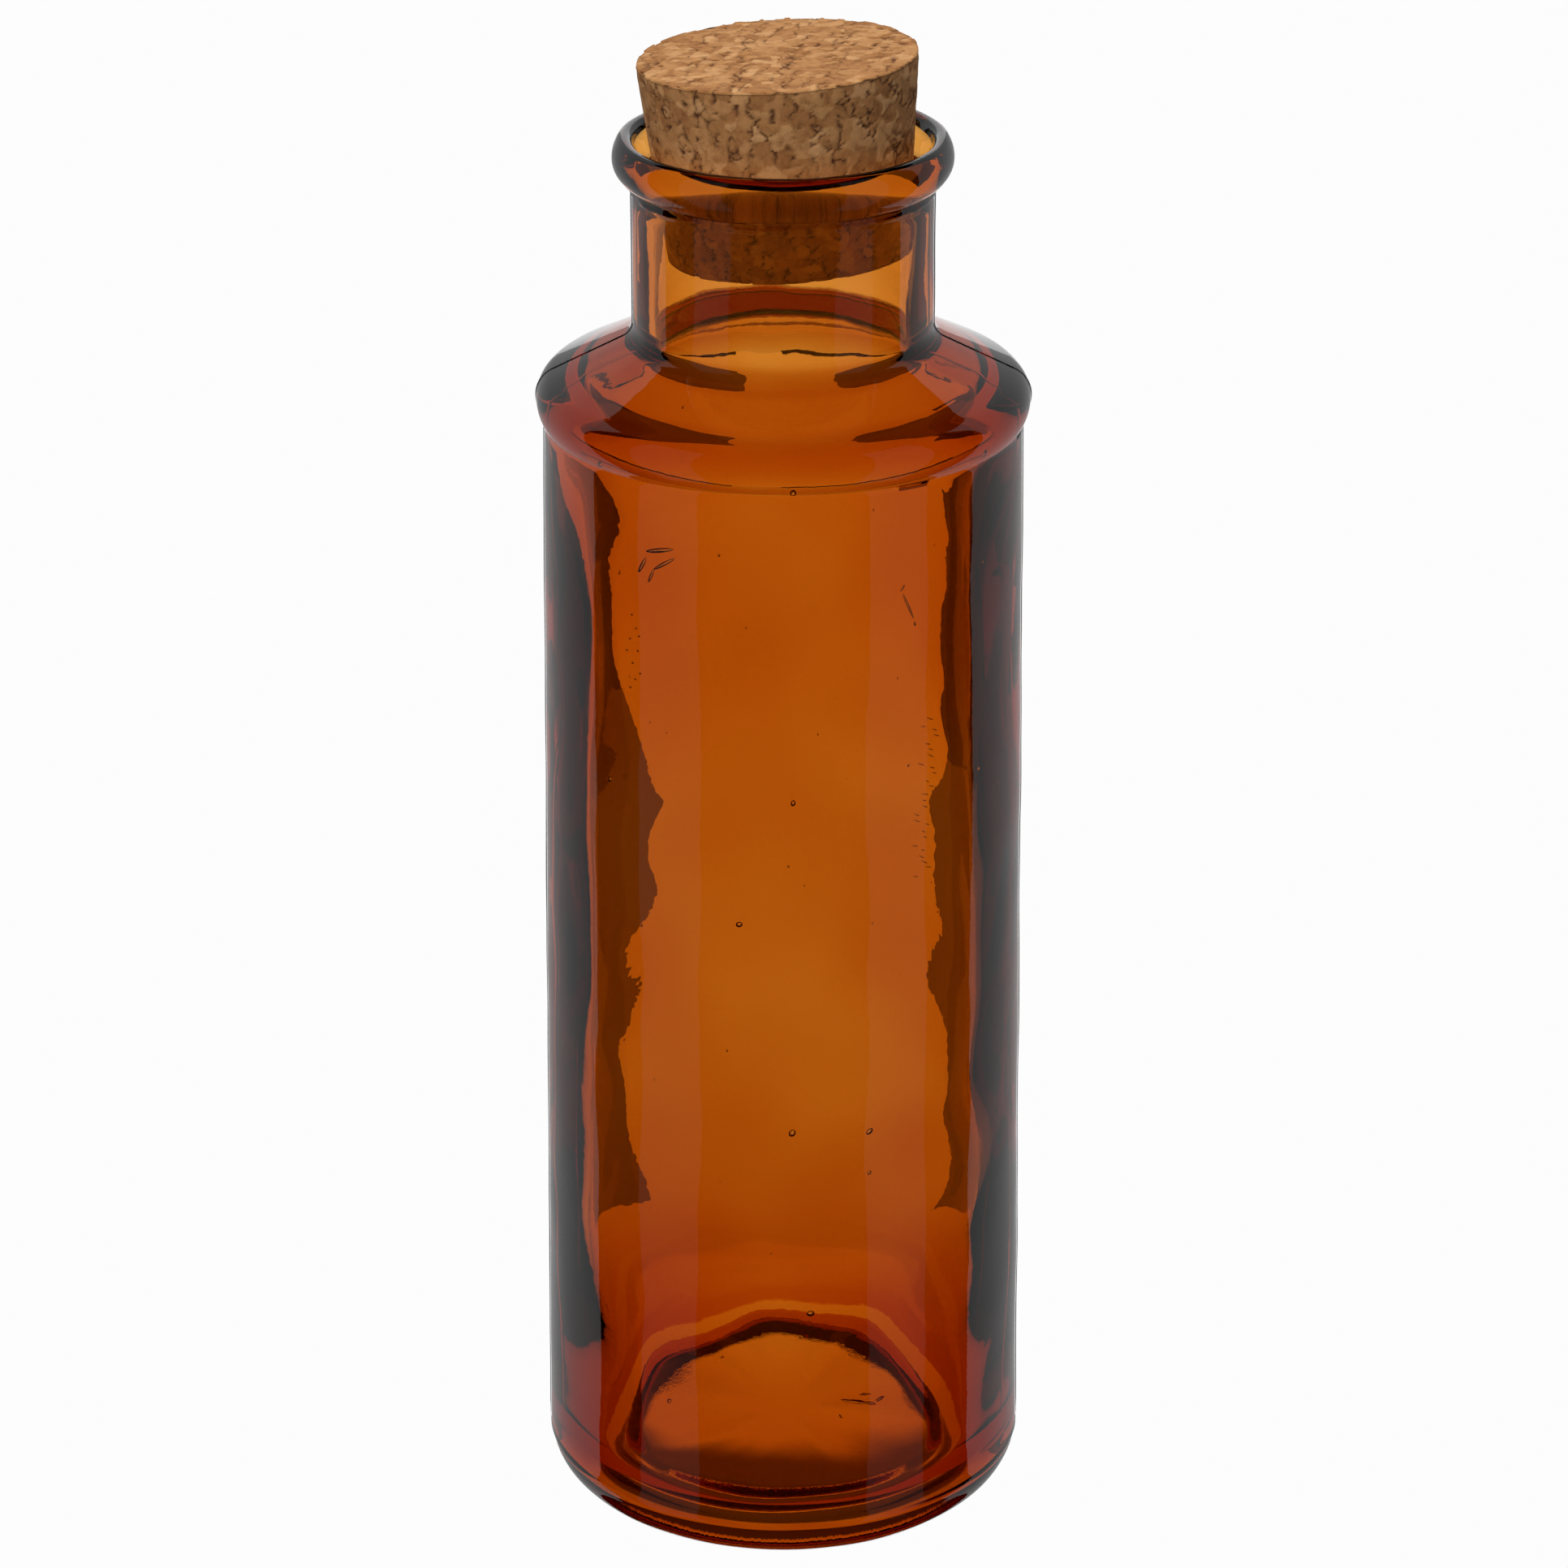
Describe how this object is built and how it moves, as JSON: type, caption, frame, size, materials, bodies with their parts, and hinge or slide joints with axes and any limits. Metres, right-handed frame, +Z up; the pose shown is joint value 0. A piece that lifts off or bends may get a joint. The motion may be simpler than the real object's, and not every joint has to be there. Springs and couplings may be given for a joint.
{
  "type": "stoppered glass bottle",
  "caption": "Nearly straight-sided moulded amber glass bottle with a beaded shoulder, short neck and rolled lip, closed by a tapered push-in cork stopper.",
  "frame": {"origin": "centre of the bearing ring under the base, on the surface that the bottle stands on", "axes": "+Z up along the bottle's axis, towards the mouth; -Y is the front; the stopper leans towards -X"},
  "size_m": [0.0604, 0.0604, 0.1887],
  "materials": {
    "amber_glass": "gloss, moulded, slightly wavy",
    "cork": "matte agglomerated cork granules"
  },
  "bodies": {
    "bottle": {"glass_bottle": "amber_glass"},
    "stopper": {"cork_stopper": "cork"}
  },
  "joints": [
    {"name": "stopper_pull", "type": "slide", "parent": "bottle", "child": "stopper", "axis": [-0.0576, 0, 0.9983], "range_m": [0, 0.06]}
  ]
}
